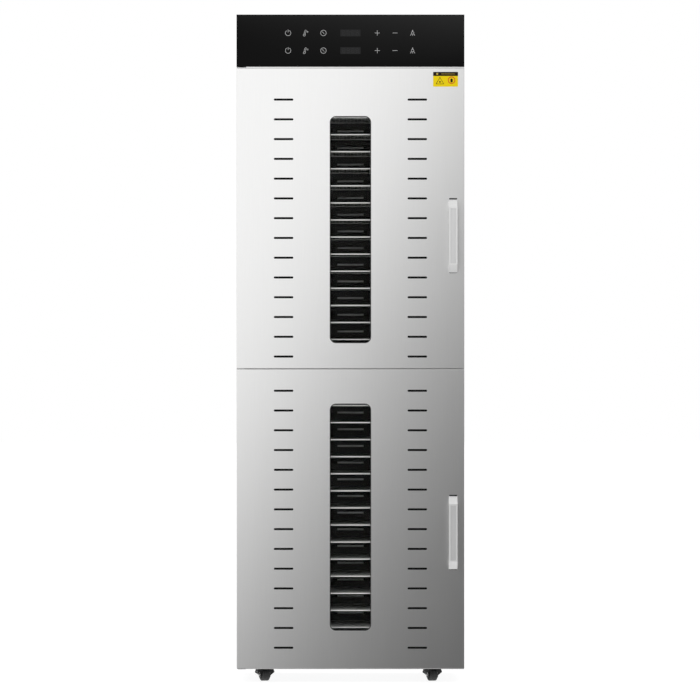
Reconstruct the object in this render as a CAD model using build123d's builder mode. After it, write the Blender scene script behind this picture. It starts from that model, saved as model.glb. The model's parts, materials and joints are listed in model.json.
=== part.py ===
from build123d import *
import os

# Two-chamber tray dehydrator, all lengths in mm.
# X runs left to right, Z up from the floor, and the doors face -Y.
# Depths are measured back from the outer face of the doors.

# Overall
width = 455.0
height = 1333.0
face = 241.0
sheet = 1.0
half = width / 2
inside = half - sheet
skirt_z = 24.8
back = 505.0

# Doors, each (bottom, top)
lower_door = (26.9, 624.6)
upper_door = (626.2, 1225.9)
door_depth = 22.0
window_width = 82.6
window_height = 453.5
window_radius = 12.5
lower_window_z = 329.4
upper_window_z = 903.5
glass_lap = 8.0
glass_thickness = 4.0

# Air slots in the doors
slot_length = 39.0
slot_height = 4.3
slot_x = 133.5
slot_pitch = 39.47
lower_slot_z = 68.7
upper_slot_z = 650.1

# Door pivots
pivot_x = -217.0
pivot_depth = 11.0
pin_radius = 3.0
pin_bore = 3.06
leaf = 1.0
leaf_levels = (25.4, 624.9, 1226.4)

# Chambers, each (floor, ceiling)
lower_chamber = (60.0, 600.0)
upper_chamber = (651.0, 1190.0)
liner_x = 196.0
frame_depth = 29.0
frame_sheet = 1.2
baffle_depth = 416.0

# Door seals
seal_outer = 203.0
seal_width = 6.0
seal_back = 28.7

# Trays
trays = 14
tray_pitch = 34.2
tray_width = 388.0
tray_length = 360.0
tray_front = 48.0
tray_rim = 5.0
tray_height = 3.6
lower_tray_z = 107.4
upper_tray_z = 684.2
rail_gap = 0.1
rail_thickness = 2.0

# Handles
handle_x = 205.0
handle_width = 17.0
handle_length = 147.0
handle_reach = 26.0
handle_bar = 8.0
handle_slope = 16.0
lower_handle_z = 298.4
upper_handle_z = 890.8

# Control panel
panel_z = 1228.5
panel_thickness = 4.0

# Fans and heaters
lower_fan_z = 329.0
upper_fan_z = 905.0
fan_radius = 100.0
fan_blades = 12
shaft_radius = 4.0
shaft_bore = 4.05
heater_radius = 118.0
heater_tube = 4.0

# Casters
caster_x = 168.0
rear_caster_x = 172.0
front_caster_depth = 58.0
rear_caster_depth = 462.0
trail = 12.0
rest_turn = 20.0
wheel_radius = 12.5
wheel_width = 15.4
axle_radius = 2.0
axle_bore = 2.05
pan_z = 34.0

# Mains inlet
inlet_x = 130.0
inlet_z = 1262.0


def at_depth(depth):
    """A sketch plane facing the front, this far behind the door face."""
    return Plane.XZ.offset(face - depth)


def block(x0, x1, d0, d1, z0, z1, mode=Mode.ADD):
    """A rectangular block between two corners."""
    with Locations(((x0 + x1) / 2, (d0 + d1) / 2 - face, (z0 + z1) / 2)):
        Box(x1 - x0, d1 - d0, z1 - z0, mode=mode)


def rod(x, z, d0, d1, radius, mode=Mode.ADD):
    """A round bar running front to back."""
    with BuildSketch(at_depth(d1)) as disc:
        with Locations((x, z)):
            Circle(radius)
    extrude(disc.sketch, amount=d1 - d0, mode=mode)


def post(x, depth, z0, z1, radius, mode=Mode.ADD):
    """A round upright bar."""
    with BuildSketch(Plane.XY.offset(z0)) as disc:
        with Locations((x, depth - face)):
            Circle(radius)
    extrude(disc.sketch, amount=z1 - z0, mode=mode)


def crossbar(x0, x1, depth, z, radius, mode=Mode.ADD):
    """A round bar running left to right."""
    with BuildSketch(Plane.YZ.offset(x0)) as disc:
        with Locations((depth - face, z)):
            Circle(radius)
    extrude(disc.sketch, amount=x1 - x0, mode=mode)


def save(built, name):
    built.part.label = name
    export_step(built.part, f"parts/{name}.step")


def door_slots(first_z, depth, thickness):
    """Two columns of round-ended air slots."""
    middle = first_z + slot_pitch * 13 / 2
    with BuildSketch(at_depth(depth)) as slots:
        with Locations((0, middle)):
            with GridLocations(2 * slot_x, slot_pitch, 2, 14):
                SlotOverall(slot_length, slot_height)
    extrude(slots.sketch, amount=thickness, mode=Mode.SUBTRACT)


os.makedirs("parts", exist_ok=True)

# Outer casing: sides, top, control box and front frame in one welded shell
with BuildPart() as outer_casing:
    for side in (-1, 1):
        x0, x1 = sorted((side * inside, side * half))
        block(x0, x1, frame_depth, back, skirt_z, height)
        block(x0, x1, panel_thickness, frame_depth, panel_z, height)
        f0, f1 = sorted((side * (half - 13), side * half))
        block(f0, f1, back - sheet, back, skirt_z, height)
        block(f0, f1, panel_thickness, panel_thickness + sheet, panel_z, height)
    block(-half, half, panel_thickness, back, height - sheet, height)
    block(-half, half, panel_thickness, frame_depth + frame_sheet, panel_z, panel_z + sheet)
    block(-half, half, panel_thickness, panel_thickness + sheet, panel_z, panel_z + 12)
    block(-half, half, panel_thickness, panel_thickness + sheet, height - 12, height)
    block(pivot_x + 8.6, half, 0.4, panel_thickness + sheet, panel_z - 1.9, panel_z)
    with BuildSketch(at_depth(frame_depth + frame_sheet)):
        with Locations((0, (skirt_z + panel_z) / 2)):
            Rectangle(width, panel_z - skirt_z)
        for floor, ceiling in (lower_chamber, upper_chamber):
            with Locations((0, (floor + ceiling) / 2)):
                Rectangle(2 * liner_x, ceiling - floor, mode=Mode.SUBTRACT)
    extrude(amount=frame_sheet)
save(outer_casing, "outer_casing")

# Base pan with turned-up ends
with BuildPart() as base_pan:
    pan_top = pan_z + 1.2
    front = frame_depth + frame_sheet
    block(-inside, inside, front, back - sheet, pan_z, pan_top)
    block(-inside, inside, front, front + 1.2, pan_z, pan_z + 16)
    block(-210, 210, back - 2.2, back - sheet, pan_z, pan_z + 16)
save(base_pan, "base_pan")

# Rear cover with air slots and the inlet cut-out
with BuildPart() as rear_cover:
    with BuildSketch(at_depth(back + sheet)):
        with Locations((0, (skirt_z + height) / 2)):
            Rectangle(width, height - skirt_z)
        for fan_z in (lower_fan_z, upper_fan_z):
            for bank in (-150, 150):
                with Locations((bank, fan_z)):
                    with GridLocations(12, 60, 5, 2):
                        SlotOverall(44, 3.5, rotation=90, mode=Mode.SUBTRACT)
        with Locations((inlet_x, inlet_z)):
            Rectangle(27.6, 20.0, mode=Mode.SUBTRACT)
        with Locations((-90, inlet_z)):
            with GridLocations(12, 30, 12, 1):
                SlotOverall(40, 3.5, rotation=90, mode=Mode.SUBTRACT)
    extrude(amount=sheet)
save(rear_cover, "rear_cover")

# Chamber floors, ceilings and side liners
with BuildPart() as chamber_panels:
    front = frame_depth + frame_sheet
    for floor, ceiling in (lower_chamber, upper_chamber):
        for z0, z1 in ((floor - sheet, floor), (ceiling, ceiling + sheet)):
            block(-inside, inside, front, back - sheet, z0, z1)
        for side in (-1, 1):
            x0, x1 = sorted((side * liner_x, side * (liner_x + sheet)))
            block(x0, x1, front, back - sheet, floor, ceiling)
save(chamber_panels, "chamber_panels")

# Tray rails, one pair for each tray
with BuildPart() as tray_rails:
    for first_z in (lower_tray_z, upper_tray_z):
        for level in range(trays):
            top = first_z + level * tray_pitch - tray_height / 2 - rail_gap
            for side in (-1, 1):
                x0, x1 = sorted((side * (liner_x - 10), side * liner_x))
                block(x0, x1, 50, 406, top - rail_thickness, top)
save(tray_rails, "tray_rails")

# Fan baffles, a row of air slots for each tray gap
with BuildPart() as fan_baffles:
    for first_z, chamber in ((lower_tray_z, lower_chamber), (upper_tray_z, upper_chamber)):
        floor, ceiling = chamber
        row_middle = first_z + tray_pitch * (trays - 1) / 2 + tray_pitch / 2
        with BuildSketch(at_depth(baffle_depth + sheet)):
            with Locations((0, (floor + ceiling) / 2)):
                Rectangle(2 * liner_x, ceiling - floor)
            with Locations((0, row_middle)):
                with GridLocations(70, tray_pitch, 5, trays):
                    Rectangle(54, 3.8, mode=Mode.SUBTRACT)
        extrude(amount=sheet)
save(fan_baffles, "fan_baffles")

# Motors on their straps, with bored front bearings
with BuildPart() as fan_motors:
    for fan_z in (lower_fan_z, upper_fan_z):
        rod(0, fan_z, 466, 500, 38)
        rod(0, fan_z, 458, 466, 14)
        block(-70, 70, 500, back, fan_z - 12, fan_z + 12)
        rod(0, fan_z, 458, 492, shaft_bore, mode=Mode.SUBTRACT)
save(fan_motors, "fan_motors")

# Ring heaters on three stays each
with BuildPart() as heating_elements:
    for fan_z in (lower_fan_z, upper_fan_z):
        with BuildSketch(Plane.YZ) as tube:
            with Locations((436 - face, fan_z + heater_radius)):
                Circle(heater_tube)
        revolve(axis=Axis((0, 0, fan_z), (0, 1, 0)), revolution_arc=360)
        with BuildSketch(at_depth(back)):
            with Locations((0, fan_z)):
                with PolarLocations(heater_radius, 3, start_angle=90):
                    Circle(3)
        extrude(amount=back - 436)
save(heating_elements, "heating_elements")

# Fan rotors
for name, fan_z in (("lower_fan_rotor", lower_fan_z), ("upper_fan_rotor", upper_fan_z)):
    with BuildPart() as rotor:
        rod(0, fan_z, 446, 447.5, fan_radius)
        rod(0, fan_z, 430, 452, 18)
        rod(0, fan_z, 452, 490, shaft_radius)
        with BuildSketch(at_depth(446)):
            with Locations((0, fan_z)):
                with PolarLocations(78, fan_blades):
                    Rectangle(40, 1.6, rotation=25)
        extrude(amount=20)
    save(rotor, name)

# Black glass control panel
with BuildPart() as control_panel:
    with BuildSketch(at_depth(panel_thickness)):
        with Locations((0, (panel_z + height) / 2)):
            Rectangle(width, height - panel_z)
    extrude(amount=panel_thickness)
    fillet(control_panel.faces().sort_by(Axis.Y)[0].edges(), 0.8)
save(control_panel, "control_panel")

# Display board behind the glass and power board above the upper chamber
with BuildPart() as control_boards:
    block(-150, 150, 8, 9.6, 1244, 1318)
    for x in (-140, 140):
        for z in (1250, 1312):
            rod(x, z, panel_thickness, 8, 4)
    for z in (1261, 1296.2):
        block(-22, 22, 4.6, 8, z - 8, z + 8)
        for x in (54, 89.5, 124.5):
            for side in (-1, 1):
                rod(side * x, z, 4.4, 8, 6)
    power_floor = upper_chamber[1] + sheet
    block(-80, 80, 150, 260, power_floor + 8, power_floor + 9.6)
    for x in (-72, 72):
        for d in (158, 252):
            post(x, d, power_floor, power_floor + 8, 4)
    block(-60, -20, 170, 210, power_floor + 9.6, power_floor + 38)
    for x in (0, 26, 52):
        block(x, x + 18, 170, 200, power_floor + 9.6, power_floor + 27)
save(control_boards, "control_boards")

# Door pivots: three leaves with upright pins
with BuildPart() as hinge_leaves:
    for z in leaf_levels:
        block(pivot_x - 8, pivot_x + 8, 0.8, frame_depth, z, z + leaf)
        low = z if z == leaf_levels[0] else z - 9
        high = z + leaf if z == leaf_levels[2] else z + 11
        block(pivot_x - 8, pivot_x + 8, frame_depth - 1.6, frame_depth, low, high)
    post(pivot_x, pivot_depth, leaf_levels[0] + leaf, 35.5, pin_radius)
    post(pivot_x, pivot_depth, 615.5, leaf_levels[1], pin_radius)
    post(pivot_x, pivot_depth, leaf_levels[1] + leaf, 635.3, pin_radius)
    post(pivot_x, pivot_depth, 1217.3, leaf_levels[2], pin_radius)
save(hinge_leaves, "hinge_leaves")

# Chamber lamps on the ceilings
with BuildPart() as chamber_lamps:
    for floor, ceiling in (lower_chamber, upper_chamber):
        block(-35, 35, 60, 82, ceiling - 3, ceiling)
        block(-32, 32, 62, 80, ceiling - 9, ceiling - 3)
save(chamber_lamps, "chamber_lamps")

# Mains inlet with three blades
with BuildPart() as mains_inlet:
    with BuildSketch(at_depth(back + 3)):
        with Locations((inlet_x, inlet_z)):
            RectangleRounded(50, 24, 4)
    extrude(amount=2)
    block(inlet_x - 13.6, inlet_x + 13.6, 488, back + 1, inlet_z - 9.8, inlet_z + 9.8)
    block(inlet_x - 12, inlet_x + 12, 491, back + 3, inlet_z - 8, inlet_z + 8, mode=Mode.SUBTRACT)
    for dx, dz in ((-7, -2), (0, 2.5), (7, -2)):
        block(inlet_x + dx - 1, inlet_x + dx + 1, 490, 503, inlet_z + dz - 2, inlet_z + dz + 2)
save(mains_inlet, "mains_inlet")

# Trays: rim, long bars and cross bars
with BuildPart() as tray_blank:
    tray_middle = tray_front + tray_length / 2 - face
    with BuildSketch(Plane.XY.offset(-tray_height / 2)):
        with Locations((0, tray_middle)):
            Rectangle(tray_width, tray_length)
            Rectangle(tray_width - 2 * tray_rim, tray_length - 2 * tray_rim, mode=Mode.SUBTRACT)
    extrude(amount=tray_height)
    with BuildSketch(Plane.XY.offset(-0.8)):
        with Locations((0, tray_middle)):
            with GridLocations(42, 1, 8, 1):
                Rectangle(1.6, tray_length - tray_rim)
            with GridLocations(1, 38, 1, 8):
                Rectangle(tray_width - tray_rim, 1.6)
    extrude(amount=1.6)
for chamber, first_z in (("lower", lower_tray_z), ("upper", upper_tray_z)):
    for level in range(trays):
        with BuildPart() as tray:
            add(tray_blank.part.moved(Location((0, 0, first_z + level * tray_pitch))))
        save(tray, f"tray_{chamber}_{level + 1:02d}")

# Doors
for name, span, chamber, first_slot, window_z, handle_z in (
    ("lower", lower_door, lower_chamber, lower_slot_z, lower_window_z, lower_handle_z),
    ("upper", upper_door, upper_chamber, upper_slot_z, upper_window_z, upper_handle_z),
):
    bottom, top = span
    middle = (bottom + top) / 2

    # Folded steel pan with pivot bosses inside its top and bottom rims
    with BuildPart() as door_skin:
        with BuildSketch(at_depth(door_depth)):
            with Locations((0, middle)):
                Rectangle(width, top - bottom)
        extrude(amount=door_depth)
        front_edges = door_skin.faces().sort_by(Axis.Y)[0].edges()
        fillet(front_edges, 0.8)
        block(-inside, inside, sheet, door_depth, bottom + sheet, top - sheet, mode=Mode.SUBTRACT)
        post(pivot_x, pivot_depth, bottom, bottom + 8, 7)
        post(pivot_x, pivot_depth, top - 8, top, 7)
        post(pivot_x, pivot_depth, bottom, bottom + 9, pin_bore, mode=Mode.SUBTRACT)
        post(pivot_x, pivot_depth, top - 9, top, pin_bore, mode=Mode.SUBTRACT)
        with BuildSketch(at_depth(sheet)):
            with Locations((0, window_z)):
                RectangleRounded(window_width, window_height, window_radius)
        extrude(amount=sheet, mode=Mode.SUBTRACT)
        door_slots(first_slot, sheet, sheet)
    save(door_skin, f"{name}_door_skin")

    # Inner liner with a tunnel forward to the window
    with BuildPart() as door_liner:
        with BuildSketch(at_depth(door_depth)):
            with Locations((0, middle)):
                Rectangle(2 * inside, top - bottom - 2 * sheet)
            with Locations((0, window_z)):
                RectangleRounded(window_width, window_height, window_radius, mode=Mode.SUBTRACT)
        extrude(amount=sheet)
        with BuildSketch(at_depth(door_depth)):
            with Locations((0, window_z)):
                RectangleRounded(window_width + 2, window_height + 2, window_radius + 1)
                RectangleRounded(window_width, window_height, window_radius, mode=Mode.SUBTRACT)
        extrude(amount=door_depth - sheet - glass_thickness)
        door_slots(first_slot, door_depth, sheet)
    save(door_liner, f"{name}_door_liner")

    # Window glass behind the skin
    with BuildPart() as window_glass:
        with BuildSketch(at_depth(sheet + glass_thickness)):
            with Locations((0, window_z)):
                RectangleRounded(
                    window_width + 2 * glass_lap, window_height + 2 * glass_lap, window_radius
                )
        extrude(amount=glass_thickness)
    save(window_glass, f"{name}_window_glass")

    # Seal ring round the chamber opening
    with BuildPart() as door_seal:
        floor, ceiling = chamber
        with BuildSketch(at_depth(seal_back)):
            with Locations((0, (floor + ceiling) / 2)):
                RectangleRounded(2 * seal_outer, ceiling - floor + 14, 6)
                RectangleRounded(
                    2 * (seal_outer - seal_width), ceiling - floor + 2, 2, mode=Mode.SUBTRACT
                )
        extrude(amount=seal_back - door_depth)
    save(door_seal, f"{name}_door_seal")

    # Bow handle with sloped ends and a shallow groove down its face
    with BuildPart() as door_handle:
        foot = handle_length / 2
        flat = foot - handle_slope
        with BuildSketch(Plane.YZ.offset(handle_x - handle_width / 2)):
            with BuildLine():
                Polyline(
                    (-face, handle_z - foot),
                    (-face - handle_reach, handle_z - flat),
                    (-face - handle_reach, handle_z + flat),
                    (-face, handle_z + foot),
                    (-face, handle_z + foot - 12),
                    (-face - handle_reach + handle_bar, handle_z + flat - 9),
                    (-face - handle_reach + handle_bar, handle_z - flat + 9),
                    (-face, handle_z - foot + 12),
                    close=True,
                )
            make_face()
        extrude(amount=handle_width)
        with BuildSketch(at_depth(-handle_reach + 1.6)):
            with Locations((handle_x, handle_z)):
                Rectangle(10.5, 2 * flat - 6)
        extrude(amount=4, mode=Mode.SUBTRACT)
    save(door_handle, f"{name}_door_handle")


def fork_cheeks(x, axle_depth):
    """Two tapering cheeks with an axle, drawn round a wheel."""
    inner = wheel_width / 2 + 0.4
    for side in (-1, 1):
        with BuildSketch(at_depth(axle_depth + 7)) as cheek:
            with BuildLine():
                Polyline(
                    (x + side * inner, 27.0),
                    (x + side * 16.0, 27.0),
                    (x + side * 16.9, 24.0),
                    (x + side * 16.9, 16.8),
                    (x + side * 15.4, 15.0),
                    (x + side * 12.8, 13.0),
                    (x + side * (inner + 2.2), 11.0),
                    (x + side * inner, 11.0),
                    close=True,
                )
            make_face()
        extrude(cheek.sketch, amount=14)
        middle = x + side * (inner + 1.1)
        crossbar(middle - 1.1, middle + 1.1, axle_depth, wheel_radius, 7)
    crossbar(x - inner - 2.2, x + inner + 2.2, axle_depth, wheel_radius, axle_radius)


# Caster mounts: swivel plates at the front, rigid frames at the rear
with BuildPart() as caster_mounts:
    for side in (-1, 1):
        x = side * caster_x
        block(x - 20, x + 20, front_caster_depth - 20, front_caster_depth + 20, pan_z - 2, pan_z)
        post(x, front_caster_depth, 30.5, pan_z - 2, 11)
        post(x, front_caster_depth, 25.3, 30.5, pin_radius)
        post(x, front_caster_depth, 25.2, 26.4, 4.5)
        x = side * rear_caster_x
        block(x - 20, x + 20, rear_caster_depth - 20, rear_caster_depth + 20, pan_z - 2, pan_z)
        block(x - 16, x + 16, rear_caster_depth - 9, rear_caster_depth + 9, 26.5, pan_z - 2)
        fork_cheeks(x, rear_caster_depth)
save(caster_mounts, "caster_mounts")


def caster_wheel(x, depth):
    """A wheel with rounded shoulders, bored for its axle."""
    with BuildPart() as wheel:
        crossbar(x - wheel_width / 2, x + wheel_width / 2, depth, wheel_radius, wheel_radius)
        fillet(wheel.edges().filter_by(GeomType.CIRCLE), 1.4)
        crossbar(x - 9, x + 9, depth, wheel_radius, axle_bore, mode=Mode.SUBTRACT)
    return wheel.part


# Forks and wheels; the front ones stand a little turned about their pins
for place, side in (("left", -1), ("right", 1)):
    x = side * caster_x
    swivel = Axis((x, front_caster_depth - face, 0), (0, 0, 1))
    with BuildPart() as straight_fork:
        post(x, front_caster_depth, 26.5, 30.4, 17)
        block(x - 16.8, x + 16.8, front_caster_depth, front_caster_depth + trail + 7, 26.5, 28.5)
        fork_cheeks(x, front_caster_depth + trail)
        post(x, front_caster_depth, 26.0, 30.4, 3.05, mode=Mode.SUBTRACT)
    with BuildPart() as fork:
        add(straight_fork.part.rotate(swivel, rest_turn))
    save(fork, f"front_{place}_caster_fork")
    with BuildPart() as front_wheel:
        add(caster_wheel(x, front_caster_depth + trail).rotate(swivel, rest_turn))
    save(front_wheel, f"front_{place}_caster_wheel")
    with BuildPart() as rear_wheel:
        add(caster_wheel(side * rear_caster_x, rear_caster_depth))
    save(rear_wheel, f"rear_{place}_caster_wheel")
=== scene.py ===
import bpy, bmesh, json, math
from mathutils import Matrix, Vector


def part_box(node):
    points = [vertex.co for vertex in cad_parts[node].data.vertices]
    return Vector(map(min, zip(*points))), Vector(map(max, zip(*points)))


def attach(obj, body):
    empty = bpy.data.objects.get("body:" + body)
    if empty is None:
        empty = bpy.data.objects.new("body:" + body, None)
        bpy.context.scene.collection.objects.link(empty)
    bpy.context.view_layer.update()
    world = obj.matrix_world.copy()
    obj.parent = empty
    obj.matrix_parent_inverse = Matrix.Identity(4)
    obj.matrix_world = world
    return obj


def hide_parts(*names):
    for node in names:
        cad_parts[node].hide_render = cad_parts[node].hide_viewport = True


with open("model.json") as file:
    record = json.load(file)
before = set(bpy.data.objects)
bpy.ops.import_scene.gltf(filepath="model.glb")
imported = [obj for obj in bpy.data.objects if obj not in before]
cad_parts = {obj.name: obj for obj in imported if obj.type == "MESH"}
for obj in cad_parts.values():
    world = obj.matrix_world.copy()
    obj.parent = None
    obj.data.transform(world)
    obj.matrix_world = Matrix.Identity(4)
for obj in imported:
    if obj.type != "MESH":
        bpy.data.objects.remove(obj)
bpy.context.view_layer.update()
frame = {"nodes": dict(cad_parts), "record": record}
nodes = frame["nodes"]
CHAMBERS = ("lower", "upper")

# ---------------------------------------------------------------- materials
NOISE_RANGE = (0.3, 0.7)  # most of a noise texture's values lie in here


class Shader:
    """A node material, with short cuts for adding nodes to it."""

    def __init__(self, name):
        self.m = bpy.data.materials.new(name)
        self.m.use_nodes = True
        self.t = self.m.node_tree

    def node(self, kind):
        return self.t.nodes.new(kind)

    def link(self, a, b):
        self.t.links.new(a, b)

    def calc(self, op, *values):
        """The result of a math node fed with sockets and numbers."""
        n = self.node("ShaderNodeMath")
        n.operation = op
        for i, value in enumerate(values):
            if isinstance(value, (int, float)):
                n.inputs[i].default_value = value
            else:
                self.link(value, n.inputs[i])
        return n.outputs[0]


class Mat(Shader):
    """A surface material on the Principled shader."""

    def __init__(self, name, **sockets):
        super().__init__(name)
        self.p = self.t.nodes["Principled BSDF"]
        for key, value in sockets.items():
            self.p.inputs[key.replace("_", " ")].default_value = value
        self.co = self.node("ShaderNodeTexCoord").outputs["Object"]

    def noise(self, stretch=(1, 1, 1), scale=100.0, detail=3.0, rough=0.5):
        mapping = self.node("ShaderNodeMapping")
        mapping.inputs["Scale"].default_value = stretch
        self.link(self.co, mapping.inputs["Vector"])
        n = self.node("ShaderNodeTexNoise")
        n.inputs["Scale"].default_value = scale
        n.inputs["Detail"].default_value = detail
        n.inputs["Roughness"].default_value = rough
        self.link(mapping.outputs["Vector"], n.inputs["Vector"])
        return n.outputs["Fac"]

    def spread(self, source, low, high, frm=NOISE_RANGE):
        r = self.node("ShaderNodeMapRange")
        r.inputs["From Min"].default_value = frm[0]
        r.inputs["From Max"].default_value = frm[1]
        r.inputs["To Min"].default_value = low
        r.inputs["To Max"].default_value = high
        self.link(source, r.inputs["Value"])
        return r.outputs["Result"]

    def tint(self, source, dark, light):
        r = self.node("ShaderNodeValToRGB")
        for stop, position, colour in zip(r.color_ramp.elements, NOISE_RANGE, (dark, light)):
            stop.position = position
            stop.color = (*colour, 1)
        self.link(source, r.inputs["Fac"])
        self.link(r.outputs["Color"], self.p.inputs["Base Color"])

    def roughness(self, source, low, high):
        self.link(self.spread(source, low, high), self.p.inputs["Roughness"])

    def bump(self, source, distance):
        b = self.node("ShaderNodeBump")
        b.inputs["Distance"].default_value = distance
        b.inputs["Strength"].default_value = 1.0
        self.link(source, b.inputs["Height"])
        self.link(b.outputs["Normal"], self.p.inputs["Normal"])


def brushed(name, dark, light, rough, grain, bump=0.00001, metallic=1.0):
    """Stainless sheet with a fine grain along one axis and slow cloudy variation."""
    m = Mat(name, Metallic=metallic)
    stretch = {"x": (0.012, 1, 1), "y": (1, 0.012, 1), "z": (1, 1, 0.012)}[grain]
    lines = m.noise(stretch, 1400.0, 2.0, 0.6)
    cloud = m.noise((1, 1, 1), 3.2, 2.0)
    mix = m.calc("MULTIPLY_ADD", lines, 0.72, m.calc("MULTIPLY", cloud, 0.28))
    m.tint(mix, dark, light)
    m.roughness(mix, *rough)
    m.bump(lines, bump)
    return m.m


def moulded(name, dark, light, rough, bump=0.00004, scale=900.0, **sockets):
    """Plastic, paint or rubber with a fine pebble and a slight drift in tone."""
    m = Mat(name, **sockets)
    fine = m.noise((1, 1, 1), scale, 2.0)
    slow = m.noise((1, 1, 1), 18.0, 3.0)
    m.tint(slow, dark, light)
    m.roughness(slow, *rough)
    m.bump(fine, bump)
    return m.m


def printed(name, dark, light, rough=(0.4, 0.55)):
    """Ink or film with a very fine grain."""
    m = Mat(name, Specular_IOR_Level=0.12)
    grain = m.noise((1, 1, 1), 1500.0, 2.0)
    m.tint(grain, dark, light)
    m.roughness(grain, *rough)
    return m.m


satin = brushed("satin_steel", (0.775, 0.775, 0.77), (0.80, 0.80, 0.797), (0.285, 0.315), "z", 0.0000025)
inner = brushed("chamber_steel", (0.50, 0.50, 0.49), (0.60, 0.60, 0.59), (0.30, 0.42), "z", 0.00002)
liner = brushed("liner_steel", (0.64, 0.64, 0.635), (0.74, 0.74, 0.735), (0.28, 0.38), "z")
plated = brushed("plated_steel", (0.46, 0.47, 0.48), (0.58, 0.59, 0.60), (0.34, 0.46), "y", 0.00002)
wire = brushed("tray_wire", (0.86, 0.85, 0.83), (0.93, 0.92, 0.90), (0.24, 0.36), "x", metallic=0.7)
mesh_wire = brushed("mesh_wire", (0.30, 0.30, 0.295), (0.42, 0.42, 0.41), (0.30, 0.42), "x")
pin_steel = brushed("hinge_steel", (0.50, 0.50, 0.50), (0.62, 0.62, 0.62), (0.28, 0.4), "z")
grip = brushed("handle_steel", (0.82, 0.82, 0.82), (0.88, 0.88, 0.875), (0.30, 0.36), "z", 0.000004, 0.35)
# the darker satin of the handle's groove is painted shade of the recess
groove_shade_satin = brushed("handle_groove_shade", (0.74, 0.74, 0.74), (0.80, 0.80, 0.80), (0.32, 0.40), "z", 0.000006, 0.5)
blade = brushed("fan_aluminium", (0.62, 0.63, 0.64), (0.74, 0.75, 0.76), (0.3, 0.42), "x", 0.00002)
silver = brushed("light_metal", (0.58, 0.58, 0.58), (0.72, 0.72, 0.72), (0.25, 0.4), "z")
# near-black baffle: painted shade, so the chamber seen through the windows reads dark
dark_baffle = moulded("baffle_painted_shade", (0.020, 0.020, 0.021), (0.034, 0.034, 0.036), (0.42, 0.55), 0.00002)
heater = moulded("heater_tube", (0.10, 0.09, 0.085), (0.20, 0.17, 0.15), (0.45, 0.65), Metallic=0.8)
can = moulded("motor_steel", (0.03, 0.03, 0.032), (0.06, 0.06, 0.062), (0.35, 0.5))
board = moulded("circuit_board", (0.02, 0.12, 0.06), (0.03, 0.17, 0.085), (0.35, 0.5), 0.00002, 400)
plastic = moulded("black_plastic", (0.016, 0.016, 0.017), (0.03, 0.03, 0.031), (0.38, 0.5))
coated = moulded("caster_metal", (0.012, 0.012, 0.013), (0.028, 0.028, 0.029), (0.28, 0.42), 0.00003)
tread = moulded("caster_wheel", (0.024, 0.024, 0.025), (0.046, 0.046, 0.047), (0.45, 0.62), 0.00006)
seal = moulded("seal_rubber", (0.018, 0.018, 0.018), (0.032, 0.032, 0.032), (0.5, 0.65), 0.00005)
lens = moulded("lamp_lens", (0.80, 0.78, 0.72), (0.88, 0.86, 0.80), (0.2, 0.3), 0.00001)
# near-black, matt sheet for behind the door slots: painted shade
dark_slot_sheet = moulded("slot_painted_shade", (0.006, 0.006, 0.006), (0.012, 0.012, 0.012), (0.8, 0.95), 0.00006, 1600,
                Specular_IOR_Level=0.05)
icon_ink = printed("icon_ink", (0.38, 0.38, 0.38), (0.46, 0.46, 0.46))
display_ink = printed("display_ink", (0.0125, 0.0125, 0.013), (0.0150, 0.0150, 0.0155), (0.25, 0.3))
segment_ink = printed("segment_ink", (0.022, 0.022, 0.023), (0.027, 0.027, 0.028), (0.25, 0.3))
label_yellow = printed("label_yellow", (0.80, 0.60, 0.002), (0.88, 0.67, 0.004))
label_dark = printed("label_dark", (0.010, 0.005, 0.003), (0.016, 0.009, 0.006))
label_pale = printed("label_pale", (0.46, 0.34, 0.06), (0.56, 0.42, 0.08))
label_red = printed("label_red", (0.60, 0.10, 0.015), (0.70, 0.14, 0.02))
plate_ink = printed("blank_plate", (0.60, 0.60, 0.60), (0.68, 0.68, 0.68))

clear = Mat("window_glass", Transmission_Weight=1.0, IOR=1.13, Roughness=0.0)
film = clear.noise((1, 1, 0.4), 12.0, 3.0)
clear.tint(film, (0.86, 0.87, 0.865), (0.92, 0.93, 0.925))

# the panel's glass is a little greyer towards the upper right corner and the top: a painted reflection,
# standing in for a soft sheen of the studio light
PANEL_LOW, PANEL_HIGH, HALF_WIDTH = 1.226, 1.333, 0.2275
CORNER_PAINTED_SHEEN, TOP_PAINTED_SHEEN, SMUDGE_GREY = 0.0150, 0.0048, 0.0008
black = Mat("black_glass", IOR=1.16)
smudge = black.noise((1, 1, 1), 7.0, 4.0)
black.roughness(smudge, 0.10, 0.17)
place_on_panel = black.node("ShaderNodeSeparateXYZ")
black.link(black.co, place_on_panel.inputs[0])
across = black.spread(place_on_panel.outputs["X"], 0.0, 1.0, (-HALF_WIDTH, HALF_WIDTH))
up = black.spread(place_on_panel.outputs["Z"], 0.0, 1.0, (PANEL_LOW, PANEL_HIGH))
# painted reflection: grey that grows towards the upper right corner and along the top, plus a faint tone from
# the smudges
corner = black.calc("MULTIPLY", black.calc("MULTIPLY", across, up), CORNER_PAINTED_SHEEN)
top = black.calc("MULTIPLY", black.calc("POWER", up, 4.0), TOP_PAINTED_SHEEN)
painted_sheen_and_smudge = black.calc("ADD", black.calc("ADD", corner, top), black.calc("MULTIPLY", smudge, SMUDGE_GREY))
black.link(painted_sheen_and_smudge, black.p.inputs["Base Color"])

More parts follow.
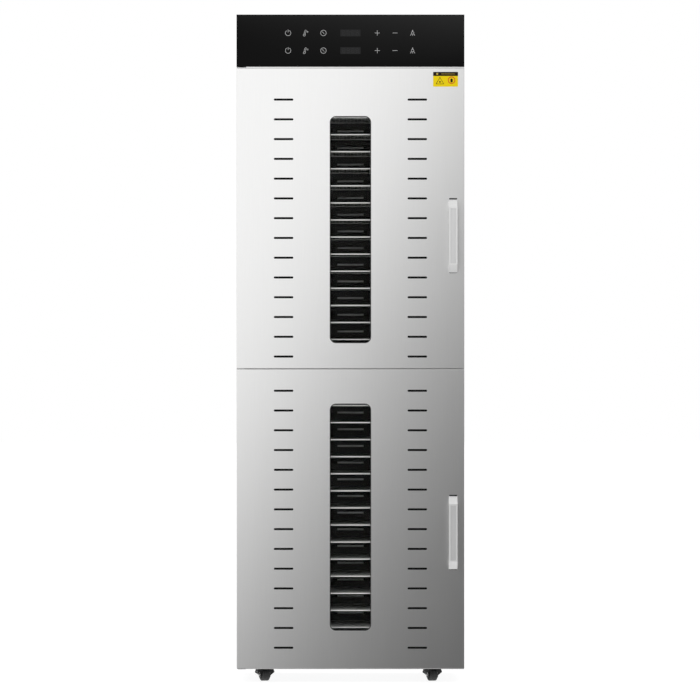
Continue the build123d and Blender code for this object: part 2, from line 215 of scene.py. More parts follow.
by_slot = {
    "satin_steel": satin,
    "plated_steel": plated,
    "chamber_steel": inner,
    "tray_wire": wire,
    "handle_steel": grip,
    "hinge_steel": pin_steel,
    "motor_steel": can,
    "heater_tube": heater,
    "fan_aluminium": blade,
    "black_glass": black.m,
    "circuit_board": board,
    "black_plastic": plastic,
    "lamp_lens": lens,
    "window_glass": clear.m,
    "seal_rubber": seal,
    "caster_metal": coated,
    "caster_wheel": tread,
}
slot_of = {s["node"]: s["material_slot"] for s in frame["record"]["subparts"]}
own_finish = {"fan_baffles": dark_baffle, "lower_door_liner": liner, "upper_door_liner": liner}
for name, o in nodes.items():
    o.data.materials.clear()
    o.data.materials.append(own_finish.get(name, by_slot[slot_of[name]]))


# ---------------------------------------------------------------- mesh helpers
def piece(name, bm, mat, body, smooth=None, bevel=0.0, segments=2):
    """A mesh object that rides on a body."""
    bmesh.ops.recalc_face_normals(bm, faces=bm.faces)
    me = bpy.data.meshes.new(name)
    bm.to_mesh(me)
    bm.free()
    return place(name, me, mat, body, smooth, bevel, segments)


def place(name, me, mat, body, smooth=None, bevel=0.0, segments=2, at=(0, 0, 0)):
    """An object for a finished mesh, bevelled, shaded and bound to its body."""
    o = bpy.data.objects.new(name, me)
    bpy.context.scene.collection.objects.link(o)
    if not me.materials:
        me.materials.append(mat)
    o.location = at
    if bevel:
        soften(o, bevel, segments)
    if smooth is not None:
        me.shade_smooth()
        me.set_sharp_from_angle(angle=math.radians(smooth))
    bpy.context.view_layer.update()
    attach(o, body)
    return o


def soften(o, width, segments=2):
    """Round off the sharp edges."""
    b = o.modifiers.new("edges", "BEVEL")
    b.width = width
    b.segments = segments
    b.limit_method = "ANGLE"
    b.angle_limit = math.radians(40)


def slab(bm, points, y0, y1):
    """A flat shape in X and Z, given thickness from y0 to y1."""
    a = [bm.verts.new((x, y0, z)) for x, z in points]
    b = [bm.verts.new((x, y1, z)) for x, z in points]
    n = len(points)
    bm.faces.new(a)
    bm.faces.new(b[::-1])
    for i in range(n):
        bm.faces.new((a[i], b[i], b[(i + 1) % n], a[(i + 1) % n]))


def rounded(cx, cz, w, h, r, n=6):
    """A rounded rectangle as points in X and Z."""
    half_w, half_h = w / 2 - r, h / 2 - r
    out = []
    for sx, sz, start in ((1, 1, 0), (-1, 1, 90), (-1, -1, 180), (1, -1, 270)):
        for i in range(n + 1):
            a = math.radians(start + 90 * i / n)
            out.append((cx + sx * half_w + r * math.cos(a), cz + sz * half_h + r * math.sin(a)))
    return out


def ring_points(cx, cz, r, n=28, start=0.0, sweep=360.0):
    """A circle, or an arc with both its ends, as points in X and Z."""
    count = n if sweep == 360 else n + 1
    angles = [math.radians(start + sweep * i / n) for i in range(count)]
    return [(cx + r * math.cos(a), cz + r * math.sin(a)) for a in angles]


def ribbon(bm, points, width, y0, y1, closed=False):
    """A stroke of even width along points in X and Z."""
    n = len(points)
    left, right = [], []
    for i, (x, z) in enumerate(points):
        a = points[i - 1] if i or closed else points[0]
        b = points[(i + 1) % n] if i < n - 1 or closed else points[-1]
        dx, dz = b[0] - a[0], b[1] - a[1]
        size = math.hypot(dx, dz) or 1.0
        nx, nz = -dz / size * width / 2, dx / size * width / 2
        left.append([bm.verts.new((x + nx, y, z + nz)) for y in (y0, y1)])
        right.append([bm.verts.new((x - nx, y, z - nz)) for y in (y0, y1)])
    last = n if closed else n - 1
    for i in range(last):
        j = (i + 1) % n
        bm.faces.new((left[i][0], right[i][0], right[j][0], left[j][0]))
        bm.faces.new((left[i][1], left[j][1], right[j][1], right[i][1]))
        bm.faces.new((left[i][0], left[j][0], left[j][1], left[i][1]))
        bm.faces.new((right[i][0], right[i][1], right[j][1], right[j][0]))
    if not closed:
        for i in (0, n - 1):
            bm.faces.new((left[i][0], left[i][1], right[i][1], right[i][0]))


def lathe(bm, profile, centre, axis, n=48):
    """A closed profile of (along, radius) turned about an axis through centre."""
    axis = Vector(axis).normalized()
    u = axis.orthogonal().normalized()
    v = axis.cross(u)
    c = Vector(centre)
    rows = []
    for along, r in profile:
        if r < 1e-7:
            rows.append([bm.verts.new(c + axis * along)])
        else:
            turns = [2 * math.pi * i / n for i in range(n)]
            rows.append([bm.verts.new(c + axis * along + (u * math.cos(t) + v * math.sin(t)) * r)
                         for t in turns])
    for a, b in zip(rows, rows[1:]):
        for i in range(n):
            j = (i + 1) % n
            if len(a) == 1 and len(b) > 1:
                bm.faces.new((a[0], b[i], b[j]))
            elif len(b) == 1 and len(a) > 1:
                bm.faces.new((a[i], b[0], a[j]))
            elif len(a) > 1:
                bm.faces.new((a[i], b[i], b[j], a[j]))
    if profile[0] == profile[-1]:
        bmesh.ops.remove_doubles(bm, verts=rows[0] + rows[-1], dist=1e-7)


def screw(bm, centre, axis, r=0.0034):
    """A pan head with a fine cross on it."""
    axis = Vector(axis).normalized()
    h = r * 0.55
    head = [(0, 0), (0, r), (h * 0.45, r), (h * 0.8, r * 0.86), (h, r * 0.55), (h, r * 0.16),
            (h * 0.55, r * 0.12), (h * 0.55, 0)]
    lathe(bm, head, centre, axis, 20)
    u = axis.orthogonal().normalized()
    v = axis.cross(u)
    c = Vector(centre) + axis * h
    corners = ((-1, -1), (1, -1), (1, 1), (-1, 1))
    for a, b in ((u, v), (v, u)):
        corner = [c + a * (r * 0.5 * s) + b * (r * 0.09 * t) for s, t in corners]
        low = [bm.verts.new(p - axis * 0.00005) for p in corner]
        high = [bm.verts.new(p + axis * 0.00008) for p in corner]
        bm.faces.new(high)
        bm.faces.new(low[::-1])
        for i in range(4):
            bm.faces.new((low[i], low[(i + 1) % 4], high[(i + 1) % 4], high[i]))


def frame_sweep(bm, cx, cz, w, h, r, profile, n=8, flat=False):
    """A profile of (outward, deep) swept round a rounded rectangle, upright or lying flat."""
    path = rounded(cx, cz, w, h, r, n)
    rows = []
    for i, (x, z) in enumerate(path):
        quarter, step = divmod(i, n + 1)
        a = math.radians(90 * quarter + 90 * step / n)
        nx, nz = math.cos(a), math.sin(a)
        if flat:
            rows.append([bm.verts.new((x + nx * o, z + nz * o, deep)) for o, deep in profile])
        else:
            rows.append([bm.verts.new((x + nx * o, deep, z + nz * o)) for o, deep in profile])
    m = len(profile)
    for i in range(len(rows)):
        a, b = rows[i], rows[(i + 1) % len(rows)]
        for k in range(m):
            bm.faces.new((a[k], a[(k + 1) % m], b[(k + 1) % m], b[k]))


def middle(node):
    """The middle of a node's box."""
    lo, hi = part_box(node)
    return (lo + hi) / 2


# ---------------------------------------------------------------- trays
RIM_SIDES, RIM_HALF_WIDTH, RIM_HALF_HEIGHT = 12, 0.0023, 0.0014
WIRE_R, RIB_R, WIRE_INSET = 0.00045, 0.0006, 0.002
WIRES_LONG, WIRES_CROSS = 52, 48
LEVELS = 14


def boxy(value, power):
    """A sine or cosine pushed outwards, which makes a circle nearly square."""
    return math.copysign(abs(value) ** power, value)


def strand(bm, along, fixed, start, end, z, r, sides=6):
    """A straight wire, in the tray's second material."""
    rows = []
    for s in (start, end):
        ring = []
        for i in range(sides):
            t = 2 * math.pi * i / sides
            p = (s, fixed + r * math.cos(t)) if along == "x" else (fixed + r * math.cos(t), s)
            ring.append(bm.verts.new((p[0], p[1], z + r * math.sin(t))))
        rows.append(ring)
    a, b = rows
    skin = [bm.faces.new((a[i], a[(i + 1) % sides], b[(i + 1) % sides], b[i])) for i in range(sides)]
    skin += [bm.faces.new(a[::-1]), bm.faces.new(b)]
    for face in skin:
        face.material_index = 1


lo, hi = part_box("tray_lower_01")
tw, tl = hi.x - lo.x, hi.y - lo.y
ty = (lo.y + hi.y) / 2
front, rear = ty - tl / 2 + WIRE_INSET, ty + tl / 2 - WIRE_INSET
side = tw / 2 - WIRE_INSET
rim = []
for i in range(RIM_SIDES):
    a = 2 * math.pi * i / RIM_SIDES
    rim.append((RIM_HALF_WIDTH * boxy(math.cos(a), 0.35) - RIM_HALF_WIDTH,
                RIM_HALF_HEIGHT * boxy(math.sin(a), 0.45)))
bm = bmesh.new()
frame_sweep(bm, 0, ty, tw, tl, 0.006, rim, 6, flat=True)
for i in range(1, WIRES_LONG):
    strand(bm, "y", -tw / 2 + tw * i / WIRES_LONG, front, rear, -0.0002, WIRE_R)
for i in range(1, WIRES_CROSS):
    strand(bm, "x", ty - tl / 2 + tl * i / WIRES_CROSS, -side, side, 0.0006, WIRE_R)
for k in (-0.25, 0.25):
    strand(bm, "y", tw * k, front, rear, -0.0012, RIB_R, 8)
bmesh.ops.recalc_face_normals(bm, faces=bm.faces)
tray_mesh = bpy.data.meshes.new("wire_tray")
tray_mesh.materials.append(wire)
tray_mesh.materials.append(mesh_wire)
bm.to_mesh(tray_mesh)
bm.free()
for chamber in CHAMBERS:
    for level in range(1, LEVELS + 1):
        node = f"tray_{chamber}_{level:02d}"
        o = place(f"wire_{node}", tray_mesh, wire, f"{chamber}_{level:02d}_tray",
                  40, at=(0, 0, middle(node).z))
        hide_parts(node)

# ---------------------------------------------------------------- doors
WINDOW_R = 0.0125
WINDOW_LAP = 0.016  # how much wider and taller the glass is than the opening
SLOT_X, SLOT_MIDDLE = 0.1335, {"upper": 0.9067, "lower": 0.3252}
HANDLE_FOOT = 0.016
BULB_R, BULB_CENTRE = 0.0024, -0.003
EDGE_SCREW_X, EDGE_SCREW_MARGIN, EDGE_SCREWS = 0.218, 0.03, 7
WINDOW_SCREW_X, WINDOW_SCREW_REACH, WINDOW_SCREWS = 0.056, 0.4, 4
CATCH_X, FRAME_DEPTH = 0.2165, 0.029

for chamber in CHAMBERS:
    body = f"{chamber}_door"
    skin_lo, skin_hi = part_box(f"{chamber}_door_skin")
    soften(nodes[f"{chamber}_door_handle"], 0.0007, 3)

    # handle: a darker satin strip in the groove, painted shade of the recess, and a thin dark pad under each
    # foot, a painted shadow at the handle's ends
    h_lo, h_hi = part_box(f"{chamber}_door_handle")
    hx, hz = (h_lo.x + h_hi.x) / 2, (h_lo.z + h_hi.z) / 2
    bm = bmesh.new()
    slab(bm, rounded(hx, hz, 0.0102, 0.1085, 0.0004, 2), h_lo.y + 0.0012, h_lo.y + 0.0018)
    piece(f"{chamber}_handle_shade_strip", bm, groove_shade_satin, body, None, 0.0002, 2)
    bm = bmesh.new()
    # the pads stand out past the handle's ends as a dark line of painted shadow, further at the upper end
    for end, reach in ((-1, 0.0740), (1, 0.0757)):
        foot_z = hz + end * (reach - HANDLE_FOOT / 2)
        slab(bm, rounded(hx, foot_z, 0.0158, HANDLE_FOOT, 0.0008, 3), h_hi.y - 0.0009, h_hi.y + 0.0002)
    piece(f"{chamber}_handle_shadow_pads", bm, plastic, body, 35)

    # dark sheet behind each column of slots, painted shade that makes them read black
    bm = bmesh.new()
    for side in (-1, 1):
        slab(bm, rounded(side * SLOT_X, SLOT_MIDDLE[chamber], 0.047, 0.53, 0.003, 4),
             skin_lo.y + 0.0012, skin_lo.y + 0.0022)
    piece(f"{chamber}_slot_painted_shade", bm, dark_slot_sheet, body, 35)

    # seal with a bulb on a flat foot
    lo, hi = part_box(f"{chamber}_door_seal")
    mid = (lo + hi) / 2
    y0, y1 = lo.y, hi.y
    bulb = [(0, y0), (-0.006, y0), (-0.006, y0 + 0.0014), (-0.0048, y0 + 0.002)]
    for i in range(9):
        a = math.radians(210 - 240 * i / 8)
        bulb.append((BULB_CENTRE + BULB_R * math.cos(a), y1 - BULB_R + BULB_R * math.sin(a)))
    bulb += [(-0.0012, y0 + 0.002), (0, y0 + 0.0014)]
    bm = bmesh.new()
    frame_sweep(bm, mid.x, mid.z, hi.x - lo.x, hi.z - lo.z, 0.008, bulb)
    o = piece(f"{chamber}_bulb_seal", bm, seal, body, 50)
    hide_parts(f"{chamber}_door_seal")

    # dark bead where the glass meets the skin
    glass_lo, glass_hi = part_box(f"{chamber}_window_glass")
    g = (glass_lo + glass_hi) / 2
    w, h = glass_hi.x - glass_lo.x - WINDOW_LAP, glass_hi.z - glass_lo.z - WINDOW_LAP
    y = skin_lo.y
    bead = [(0.0, y + 0.0001), (-0.0012, y + 0.0001), (-0.0015, y + 0.0004), (-0.0015, y + 0.001),
            (0, y + 0.001)]
    bm = bmesh.new()
    frame_sweep(bm, g.x, g.z, w, h, WINDOW_R, bead)
    piece(f"{chamber}_window_bead", bm, seal, body, 50)

    # fixing screws of the liner, on the inside of the door
    bm = bmesh.new()
    liner_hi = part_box(f"{chamber}_door_liner")[1]
    screw_run = skin_hi.z - skin_lo.z - 2 * EDGE_SCREW_MARGIN
    for x in (-EDGE_SCREW_X, EDGE_SCREW_X):
        for k in range(EDGE_SCREWS):
            z = skin_lo.z + EDGE_SCREW_MARGIN + screw_run * k / (EDGE_SCREWS - 1)
            screw(bm, (x, liner_hi.y, z), (0, 1, 0), 0.0032)
    for x in (-WINDOW_SCREW_X, WINDOW_SCREW_X):
        for k in range(WINDOW_SCREWS):
            z = g.z - WINDOW_SCREW_REACH / 2 + WINDOW_SCREW_REACH * k / (WINDOW_SCREWS - 1)
            screw(bm, (x, liner_hi.y, z), (0, 1, 0), 0.0028)
    piece(f"{chamber}_liner_screws", bm, silver, body, 35)

    # magnetic catch: keeper plate on the door and magnet block on the frame
    bm = bmesh.new()
    slab(bm, rounded(CATCH_X, g.z, 0.012, 0.05, 0.002, 4), liner_hi.y, liner_hi.y + 0.0012)
    piece(f"{chamber}_catch_keeper", bm, silver, body, 35)
    bm = bmesh.new()
    frame_y = skin_lo.y + FRAME_DEPTH
    slab(bm, rounded(CATCH_X, g.z, 0.013, 0.054, 0.002, 4), frame_y - 0.0052, frame_y)
    piece(f"{chamber}_catch_magnet", bm, plastic, "cabinet", 35)

# ---------------------------------------------------------------- control panel
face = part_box("control_panel")[0].y
THIN, PLAIN, BOLD = 0.0008, 0.0009, 0.0010  # strokes of the icons
ROWS_Z = (1.2962, 1.2610)
DIGITS, DIGIT_PITCH, FIRST_DIGIT_X = 4, 0.009, -0.0135
# the seven bars of a digit: side, height, and whether it lies across
BARS = ((0, 1, 1), (0, 0, 1), (0, -1, 1), (-1, 0.5, 0), (1, 0.5, 0), (-1, -0.5, 0), (1, -0.5, 0))


def stroke(bm, points, width, closed=False):
    """A line of ink on the panel's glass."""
    ribbon(bm, points, width, face - 0.00008, face + 0.0002, closed)


def power_sign(bm, x, z):
    stroke(bm, ring_points(x, z, 0.0054, 30, 118, 304), PLAIN)
    stroke(bm, [(x, z + 0.0014), (x, z + 0.0068)], BOLD)


def heat_sign(bm, x, z):
    """A thermometer that leans to the right, and a degree ring."""
    def lean(points):
        return [(x - 0.0014 + px + 0.28 * pz, z + pz) for px, pz in points]

    bulb = [(px * 0.0020, -0.0042 + pz * 0.0020) for px, pz in ring_points(0, 0, 1.0, 18)]
    cap = [(px * 0.0013, 0.0046 + pz * 0.0013) for px, pz in ring_points(0, 0, 1.0, 8, 0, 180)]
    stroke(bm, lean(bulb), PLAIN, True)
    stroke(bm, lean([(-0.0013, -0.0023), (-0.0013, 0.0046)]), THIN)
    stroke(bm, lean([(0.0013, -0.0023), (0.0013, 0.0046)]), THIN)
    stroke(bm, lean(cap), THIN)
    stroke(bm, ring_points(x + 0.0037, z + 0.0022, 0.0011, 14), 0.0007, True)


def clock_sign(bm, x, z):
    stroke(bm, ring_points(x, z, 0.0055, 32), PLAIN, True)
    stroke(bm, [(x - 0.0026, z + 0.0026), (x, z), (x + 0.0018, z - 0.0018)], THIN)


def plus_sign(bm, x, z):
    stroke(bm, [(x - 0.0054, z), (x + 0.0046, z)], PLAIN)
    stroke(bm, [(x - 0.0004, z + 0.0005), (x - 0.0004, z + 0.0051)], PLAIN)
    stroke(bm, [(x - 0.0004, z - 0.0051), (x - 0.0004, z - 0.0005)], PLAIN)


def minus_sign(bm, x, z):
    stroke(bm, [(x - 0.0054, z), (x + 0.0044, z)], PLAIN)


def lamp_sign(bm, x, z):
    x -= 0.0004
    stroke(bm, ring_points(x, z + 0.0001, 0.0025, 20), PLAIN, True)
    stroke(bm, [(x, z + 0.0031), (x, z + 0.0060)], 0.0016)
    stroke(bm, [(x, z - 0.0030), (x, z - 0.0056)], BOLD)
    for side in (-1, 1):
        stroke(bm, [(x + side * 0.0026, z - 0.0020), (x + side * 0.0045, z - 0.0053)], BOLD)


signs = ((-0.1245, power_sign), (-0.0895, heat_sign), (-0.0540, clock_sign),
         (0.0540, plus_sign), (0.0895, minus_sign), (0.1245, lamp_sign))
for row, z in enumerate(ROWS_Z):
    for k, (x, draw) in enumerate(signs):
        bm = bmesh.new()
        draw(bm, x, z)
        piece(f"touch_icon_{row + 1}_{k + 1}", bm, icon_ink, "cabinet")
    bm = bmesh.new()
    slab(bm, rounded(0, z, 0.0404, 0.0135, 0.0008, 3), face - 0.00003, face + 0.0002)
    piece(f"display_window_{row + 1}", bm, display_ink, "cabinet")
    bm = bmesh.new()
    for digit in range(DIGITS):
        x = FIRST_DIGIT_X + digit * DIGIT_PITCH
        for bar_side, bar_height, lies_across in BARS:
            cx, cz = x + bar_side * 0.0025, z + bar_height * 0.0042
            dx, dz = (0.0018, 0) if lies_across else (0, 0.0016)
            ribbon(bm, [(cx - dx, cz - dz), (cx + dx, cz + dz)], PLAIN, face - 0.00006, face + 0.0001)
    piece(f"display_segments_{row + 1}", bm, segment_ink, "cabinet")

# generic label with no text
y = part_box("upper_door_skin")[0].y
cx, cz, label_w, label_h = 0.1899, 1.2037, 0.0497, 0.0294
BAND_Z, TRIANGLE_X, RING_X = cz + 0.0107, cx - 0.0112, cx + 0.0120
bm = bmesh.new()
slab(bm, rounded(cx, cz, label_w, label_h, 0.0012, 4), y - 0.00012, y + 0.0001)
piece("label_sheet", bm, label_yellow, "upper_door")
bm = bmesh.new()
slab(bm, rounded(cx, BAND_Z, label_w, 0.0080, 0.0012, 4), y - 0.00018, y - 0.0001)
triangle = [(TRIANGLE_X - 0.0074, cz - 0.0092), (TRIANGLE_X, cz + 0.0042), (TRIANGLE_X + 0.0074, cz - 0.0092)]
ribbon(bm, triangle, 0.0017, y - 0.0002, y - 0.0001, True)
slab(bm, ring_points(TRIANGLE_X, cz - 0.0052, 0.0017, 12), y - 0.0002, y - 0.0001)
slab(bm, rounded(RING_X, cz - 0.0024, 0.0046, 0.0078, 0.0022, 4), y - 0.00022, y - 0.0001)
piece("label_signs", bm, label_dark, "upper_door")
bm = bmesh.new()
slab(bm, ring_points(cx - 0.0166, BAND_Z, 0.0021, 12), y - 0.00026, y - 0.00016)
ribbon(bm, [(cx - 0.0085, BAND_Z), (cx + 0.0185, BAND_Z)], 0.0007, y - 0.00026, y - 0.00016)
piece("label_header_marks", bm, label_pale, "upper_door")
bm = bmesh.new()
ribbon(bm, ring_points(RING_X, cz - 0.0018, 0.0066, 30), 0.0017, y - 0.00024, y - 0.0001, True)
piece("label_ring", bm, label_red, "upper_door")

# ---------------------------------------------------------------- casters
TYRE_HALF_WIDTH, BORE_R = 0.0077, 0.00206
NUT_X, HIGHLIGHT_Y, HIGHLIGHT_DEPTH = 0.0102, -0.0073, 0.0011
LUG_R, LUG_WIRE_R, LUG_STEPS = 0.0024, 0.0007, 8
LUG_Y, LUG_Z = -0.0012, 0.0060

joints = {j["name"]: j for j in frame["record"]["behaviour"]["joints"]}
for end, place_name in ((a, b) for a in ("front", "rear") for b in ("left", "right")):
    # everything here is drawn round the axle and then turned and moved with it
    node = f"{end}_{place_name}_caster_wheel"
    joint = joints[f"{end}_{place_name}_wheel_spin"]
    axis = Vector(joint["axis"])
    stand = Matrix.Translation(joint["pos_m"]) @ Matrix.Rotation(math.atan2(axis.y, axis.x), 4, "Z")

    # tyre with hollowed side walls and two grooves in the tread
    r, w = joint["pos_m"][2], TYRE_HALF_WIDTH
    side_wall = [(-w, 0.0045), (-w, r * 0.50), (-w + 0.0008, r * 0.54), (-w + 0.0008, r * 0.70),
                 (-w, r * 0.76), (-w, r * 0.90), (-w + 0.0005, r * 0.965), (-w + 0.0016, r)]
    grooves = [(-0.0030, r), (-0.0024, r - 0.0005), (-0.0018, r),
               (0.0018, r), (0.0024, r - 0.0005), (0.0030, r)]
    profile = side_wall + grooves + [(-a, b) for a, b in side_wall[::-1]]
    profile += [(w, BORE_R), (-w, BORE_R), side_wall[0]]
    bm = bmesh.new()
    lathe(bm, profile, (0, 0, 0), (1, 0, 0), 64)
    bm.transform(stand)
    o = piece(f"{end}_{place_name}_tyre", bm, tread, f"{end}_{place_name}_wheel", 35)
    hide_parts(node)

    # axle nuts, light strips on the fork plates' edges that are painted highlights, and the two rolled lugs
    holder = "cabinet" if end == "rear" else f"front_{place_name}_fork"
    bm = bmesh.new()
    for side in (-1, 1):
        lathe(bm, [(0, 0), (0, 0.0040), (0.0013, 0.0040), (0.0019, 0.0028), (0.0019, 0)],
              (side * NUT_X, 0, 0), (side, 0, 0), 6)
    bm.transform(stand)
    piece(f"{end}_{place_name}_axle_nuts", bm, silver, holder, 30)
    bm = bmesh.new()
    for strip in ([(-0.0118, -0.0004), (-0.0107, -0.0004), (-0.0134, 0.0048), (-0.0147, 0.0048)],
                  [(0.0080, -0.0012), (0.0092, -0.0012), (0.0094, 0.0044), (0.0081, 0.0044)]):
        slab(bm, strip, HIGHLIGHT_Y, HIGHLIGHT_Y + HIGHLIGHT_DEPTH)
    bm.transform(stand)
    piece(f"{end}_{place_name}_fork_edge_highlights", bm, silver, holder, 30)
    bm = bmesh.new()
    ring = [(LUG_WIRE_R * math.sin(2 * math.pi * i / LUG_STEPS),
             LUG_R + LUG_WIRE_R * math.cos(2 * math.pi * i / LUG_STEPS)) for i in range(LUG_STEPS)]
    for x in (-0.0182, 0.0176):
        lathe(bm, ring + ring[:1], (x, LUG_Y, LUG_Z), (0, 1, 0), 24)
    bm.transform(stand)
    piece(f"{end}_{place_name}_fork_lugs", bm, can, holder, 40)
for name in ("front_left_caster_fork", "front_right_caster_fork", "caster_mounts"):
    soften(nodes[name], 0.0006, 2)

# ---------------------------------------------------------------- back of the machine
COVER_SCREW_X, COVER_SCREW_LOW, COVER_SCREW_RUN, COVER_SCREWS = 0.2205, 0.045, 1.27, 9
MOTOR_ROWS_Z = (0.329, 0.905)

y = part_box("rear_cover")[1].y
bm = bmesh.new()
for x in (-COVER_SCREW_X, COVER_SCREW_X):
    for k in range(COVER_SCREWS):
        screw(bm, (x, y, COVER_SCREW_LOW + COVER_SCREW_RUN * k / (COVER_SCREWS - 1)), (0, 1, 0), 0.0036)
for x in (-0.11, 0, 0.11):
    for z in (1.3255, 0.6255, 0.0325):
        screw(bm, (x, y, z), (0, 1, 0), 0.0036)
for z in MOTOR_ROWS_Z:
    for x in (-0.06, 0.06):
        for dz in (-0.007, 0.007):
            screw(bm, (x, y, z + dz), (0, 1, 0), 0.003)
piece("rear_screws", bm, silver, "cabinet", 35)
inlet = middle("mains_inlet")
inlet_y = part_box("mains_inlet")[1].y
bm = bmesh.new()
for side in (-1, 1):
    screw(bm, (inlet.x + side * 0.0198, inlet_y - 0.0017, inlet.z), (0, 1, 0), 0.003)
piece("inlet_screws", bm, silver, "cabinet", 35)
bm = bmesh.new()
slab(bm, rounded(0.128, 1.205, 0.07, 0.042, 0.003, 5), y - 0.0001, y + 0.0003)
piece("blank_plate", bm, plate_ink, "cabinet")
soften(nodes["mains_inlet"], 0.0004, 2)

# ---------------------------------------------------------------- inside the chambers
BAFFLE_Y, PROBE_FOOT_Y, PROBE_X, PROBE_LIFT = 0.175, 0.1745, 0.12, 0.238
BAFFLE_SCREW_X, BAFFLE_SCREW_RUN, BAFFLE_SCREWS = 0.185, 0.48, 6
probe = [(0, 0), (0, 0.005), (0.003, 0.005), (0.003, 0.0022), (0.034, 0.0022), (0.036, 0.0012), (0.036, 0)]

for chamber in CHAMBERS:
    zc = middle(f"{chamber}_door_seal").z
    for side, side_name in ((-1, "left"), (1, "right")):
        bm = bmesh.new()
        lathe(bm, probe, (side * PROBE_X, PROBE_FOOT_Y, zc + PROBE_LIFT), (0, -1, 0), 24)
        piece(f"{chamber}_probe_{side_name}", bm, silver, "cabinet", 35)
    bm = bmesh.new()
    for x in (-BAFFLE_SCREW_X, BAFFLE_SCREW_X):
        for k in range(BAFFLE_SCREWS):
            z = zc - BAFFLE_SCREW_RUN / 2 + BAFFLE_SCREW_RUN * k / (BAFFLE_SCREWS - 1)
            screw(bm, (x, BAFFLE_Y, z), (0, -1, 0), 0.0028)
    piece(f"{chamber}_baffle_screws", bm, silver, "cabinet", 35)

# ---------------------------------------------------------------- floor
floor_mat = Mat("floor", Roughness=0.7)
floor_mat.tint(floor_mat.noise((1, 1, 1), 1.2, 2.0), (0.145, 0.145, 0.145), (0.155, 0.155, 0.155))
floor_mat.p.inputs["Emission Color"].default_value = (1, 1, 1, 1)
floor_mat.p.inputs["Emission Strength"].default_value = 0.88
bm = bmesh.new()
bmesh.ops.create_circle(bm, cap_ends=True, segments=96, radius=40.0)
me = bpy.data.meshes.new("floor")
bm.to_mesh(me)
bm.free()
floor = bpy.data.objects.new("floor", me)
me.materials.append(floor_mat.m)
bpy.context.scene.collection.objects.link(floor)
floor.visible_glossy = False


# ---------------------------------------------------------------- light
class Light(Shader):
    """A glowing sheet that no camera sees, as bright as its own coordinates say."""

    def __init__(self, name):
        super().__init__(name)
        self.name = name
        self.t.nodes.clear()
        parts = self.node("ShaderNodeSeparateXYZ")
        self.link(self.node("ShaderNodeTexCoord").outputs["Object"], parts.inputs[0])
        self.x, self.z = parts.outputs["X"], parts.outputs["Z"]

    def hang(self, bm, strength, location=(0, 0, 0)):
        shine = self.node("ShaderNodeEmission")
        self.link(strength, shine.inputs["Strength"])
        self.link(shine.outputs[0], self.node("ShaderNodeOutputMaterial").inputs["Surface"])
        me = bpy.data.meshes.new(self.name)
        bm.to_mesh(me)
        bm.free()
        me.materials.append(self.m)
        sheet = bpy.data.objects.new(self.name, me)
        sheet.location = location
        bpy.context.scene.collection.objects.link(sheet)
        sheet.visible_camera = False
        sheet.visible_transmission = False
        sheet.visible_shadow = False
        return sheet


# a large soft box in front, brightest at the upper left; its glow is rounded off at GLOW_CAP
BOX_HALF_WIDTH, BOX_LOW, BOX_HIGH, BOX_PLACE = 1.5, -2.0, 1.7, (0, -1.35, 0.632)
FALL_ACROSS, RISE_UP, GLOW_MIDDLE, GLOW_CAP, CAP_KNEE = -3.15, 1.85, 0.68, 1.20, 6.0
GLOW_LEAST, FAR_RIGHT, FAR_RIGHT_RISE = 0.10, 0.60, 0.62

box = Light("soft_box")
slope = box.calc("ADD", box.calc("MULTIPLY", box.x, FALL_ACROSS), box.calc("MULTIPLY", box.z, RISE_UP))
glow = box.calc("MULTIPLY", box.calc("POWER", math.e, slope), GLOW_MIDDLE)
over = box.calc("POWER", box.calc("DIVIDE", glow, GLOW_CAP), CAP_KNEE)
glow = box.calc("DIVIDE", glow, box.calc("POWER", box.calc("ADD", over, 1.0), 1 / CAP_KNEE))
rise = box.calc("MULTIPLY", box.calc("SUBTRACT", box.x, FAR_RIGHT), FAR_RIGHT_RISE)
least = box.calc("ADD", box.calc("MAXIMUM", rise, 0.0), GLOW_LEAST)
bm = bmesh.new()
box_corners = ((-BOX_HALF_WIDTH, BOX_LOW), (BOX_HALF_WIDTH, BOX_LOW),
               (BOX_HALF_WIDTH, BOX_HIGH), (-BOX_HALF_WIDTH, BOX_HIGH))
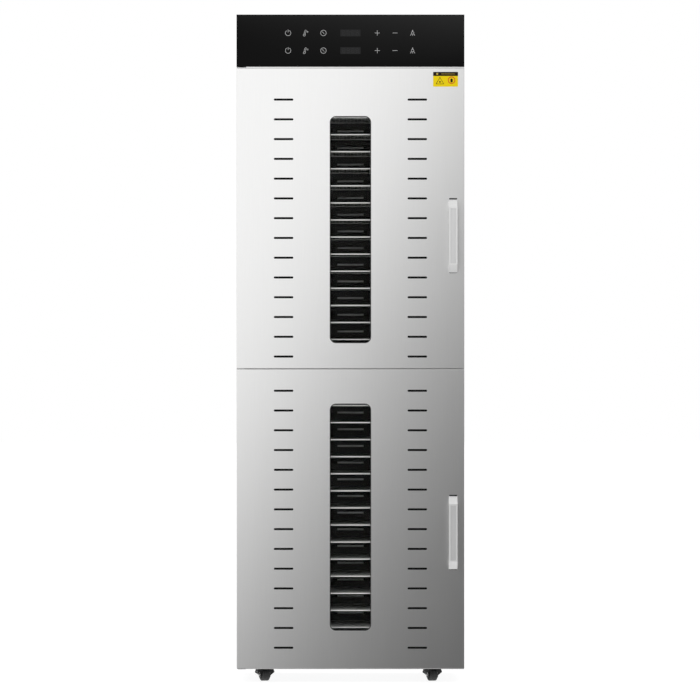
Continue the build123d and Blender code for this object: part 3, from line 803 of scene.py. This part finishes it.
bm.faces.new([bm.verts.new((x, 0, z)) for x, z in box_corners])
box.hang(bm, box.calc("MAXIMUM", glow, least), BOX_PLACE)

# a curved sheet round the sides and back, for the metal to reflect: paler above, greyer below
REACH, FOOT, TOP = 3.4, -4.0, 4.5
FIRST_DEGREE, SWEEP_DEGREES, STEPS = -60, 300, 48
GREY_LEAST, GREY_SPAN, STEEPNESS = 0.36, 0.62, 1.9

surround = Light("surround")
height = surround.calc("MULTIPLY", surround.z, 0.9)
fade = surround.calc("ADD", height, surround.calc("MULTIPLY", surround.x, -0.12))
fade = surround.calc("POWER", math.e, surround.calc("MULTIPLY", fade, -STEEPNESS))
fade = surround.calc("DIVIDE", GREY_SPAN, surround.calc("ADD", fade, 1.0))
bm = bmesh.new()
edge = []
for i in range(STEPS + 1):
    a = math.radians(FIRST_DEGREE + SWEEP_DEGREES * i / STEPS)
    edge.append([bm.verts.new((REACH * math.cos(a), REACH * math.sin(a), z)) for z in (FOOT, TOP)])
for a, b in zip(edge, edge[1:]):
    bm.faces.new((a[0], b[0], b[1], a[1]))
sheet = surround.hang(bm, surround.calc("ADD", fade, GREY_LEAST))
sheet.visible_diffuse = False

world = bpy.data.worlds.new("studio")
bpy.context.scene.world = world
world.use_nodes = True
world.node_tree.nodes["Background"].inputs["Color"].default_value = (1, 1, 1, 1)
world.node_tree.nodes["Background"].inputs["Strength"].default_value = 1.0

# ---------------------------------------------------------------- camera
LENS, SENSOR = 400, 36
FACE_Y, FRAME_WIDTH = -0.241, 1.3977  # the picture is FRAME_WIDTH wide at the doors' face
cam_data = bpy.data.cameras.new("camera")
cam_data.lens = LENS
cam_data.sensor_width = SENSOR
cam_data.clip_end = 200
cam = bpy.data.objects.new("camera", cam_data)
cam.location = (-0.0009, FACE_Y - FRAME_WIDTH * LENS / SENSOR, 0.66317)
cam.rotation_euler = (math.radians(90), 0, 0)
bpy.context.scene.collection.objects.link(cam)
bpy.context.scene.camera = cam
bpy.context.scene.view_settings.view_transform = "Standard"
bpy.context.scene.view_settings.look = "None"
